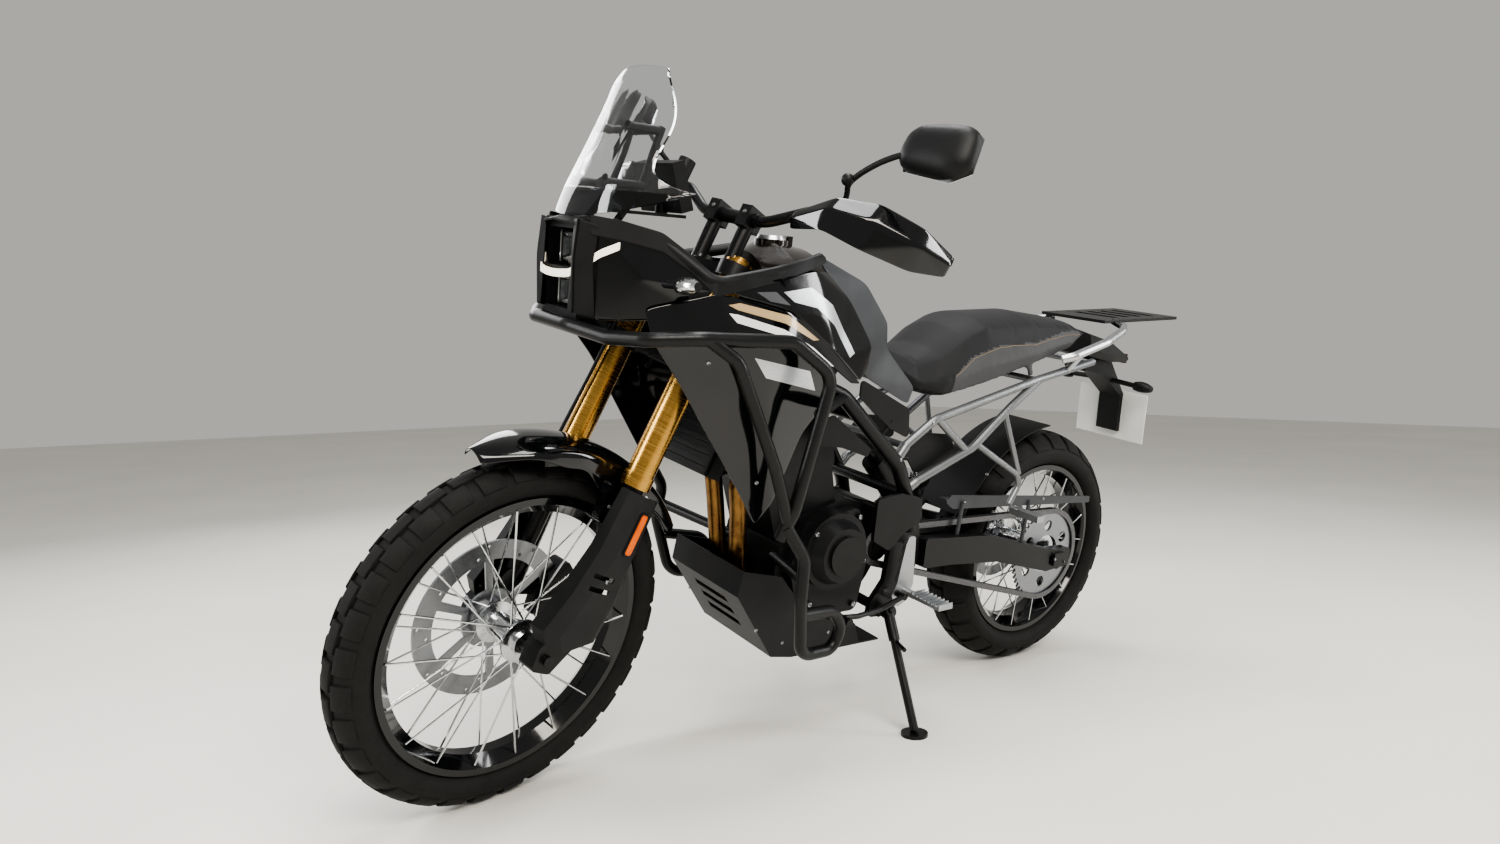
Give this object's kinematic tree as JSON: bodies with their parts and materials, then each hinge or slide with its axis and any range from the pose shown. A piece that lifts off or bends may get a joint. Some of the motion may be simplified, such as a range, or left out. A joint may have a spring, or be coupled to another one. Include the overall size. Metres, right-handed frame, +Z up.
{
  "type": "adventure motorcycle",
  "caption": "Black adventure motorcycle with gold fork tubes, knobby tyres, crash bars, tall screen, grey seat and luggage rack, leaning on its side stand",
  "frame": {"origin": "under the middle of the machine's bounding box, on the floor", "axes": "+X towards the front wheel, +Y to the rider's left, +Z up"},
  "size_m": [2.2746, 0.9506, 1.4657],
  "materials": {
    "frame_paint": "satin",
    "silver_paint": "satin",
    "engine_paint": "matte",
    "gold_anodised": "satin",
    "bare_aluminium": "brushed",
    "bright_steel": "brushed",
    "bronze_steel": "satin",
    "spokes_steel": "polished",
    "tyre_rubber": "matte",
    "soft_rubber": "matte",
    "black_plastic": "textured",
    "grey_plastic": "satin",
    "gloss_black": "gloss",
    "lens": "clear",
    "smoked_lens": "smoked",
    "seat_cover": "matte",
    "mirror_face": "polished",
    "plate_white": "gloss"
  },
  "bodies": {
    "chassis": {"chain": "bright_steel", "chain_guard": "grey_plastic", "cockpit": "black_plastic", "crash_bars": "frame_paint", "engine_block": "engine_paint", "engine_side_covers": "engine_paint", "exhaust_pipes": "bronze_steel", "foot_controls": "frame_paint", "footpegs": "bare_aluminium", "fuel_tank": "gloss_black", "grab_rails": "bare_aluminium", "headlamp": "black_plastic", "headlamp_glass": "lens", "indicators": "black_plastic", "knee_panels": "grey_plastic", "luggage_rack": "frame_paint", "main_frame": "frame_paint", "muffler": "frame_paint", "nose_fairing": "black_plastic", "number_plate": "plate_white", "radiator": "black_plastic", "radiator_cowls": "gloss_black", "rear_caliper": "frame_paint", "rear_mudguard": "black_plastic", "rear_shock": "frame_paint", "seat": "seat_cover", "side_covers": "black_plastic", "side_fairings": "gloss_black", "skid_plate": "frame_paint", "subframe": "silver_paint", "swingarm": "frame_paint", "tail_lamp": "smoked_lens", "tail_panels": "grey_plastic", "tank_side_panels": "gloss_black", "windscreen": "lens"},
    "steering": {"fork_guards": "black_plastic", "fork_lowers": "frame_paint", "fork_tubes": "gold_anodised", "front_caliper": "frame_paint", "front_mudguard": "gloss_black", "grips": "soft_rubber", "hand_controls": "black_plastic", "handguards": "gloss_black", "handlebar": "frame_paint", "mirrors": "black_plastic", "triple_clamps": "frame_paint"},
    "front_wheel": {"front_disc": "bright_steel", "front_hub_and_spokes": "spokes_steel", "front_rim": "frame_paint", "front_tyre": "tyre_rubber"},
    "rear_wheel": {"rear_disc": "bright_steel", "rear_hub_and_spokes": "spokes_steel", "rear_rim": "frame_paint", "rear_sprocket": "bright_steel", "rear_tyre": "tyre_rubber"},
    "side_stand": {"side_stand": "frame_paint"},
    "filler_cap": {"tank_filler_cap": "bare_aluminium"}
  },
  "joints": [
    {"name": "steering_hinge", "type": "hinge", "parent": "chassis", "child": "steering", "pos_m": [0.45374, -0.06296, 0.93427], "axis": [-0.4207, 0.1575, 0.8934], "range_deg": [-50, 26]},
    {"name": "front_wheel_spin", "type": "hinge", "parent": "steering", "child": "front_wheel", "pos_m": [0.79517, -0.15614, 0.33759], "axis": [-0.1886, 0.9481, -0.256], "continuous": true},
    {"name": "rear_wheel_spin", "type": "hinge", "parent": "chassis", "child": "rear_wheel", "pos_m": [-0.70869, -0.17071, 0.32319], "axis": [0, 0.9848, -0.1736], "continuous": true},
    {"name": "side_stand_hinge", "type": "hinge", "parent": "chassis", "child": "side_stand", "pos_m": [-0.08279, -0.04251, 0.25555], "axis": [0.0444, 0.9213, 0.3863], "range_deg": [0, 95]},
    {"name": "filler_cap_hinge", "type": "hinge", "parent": "chassis", "child": "filler_cap", "pos_m": [0.21199, -0.03474, 1.09432], "axis": [0, -0.9848, 0.1736], "range_deg": [0, 90]}
  ]
}
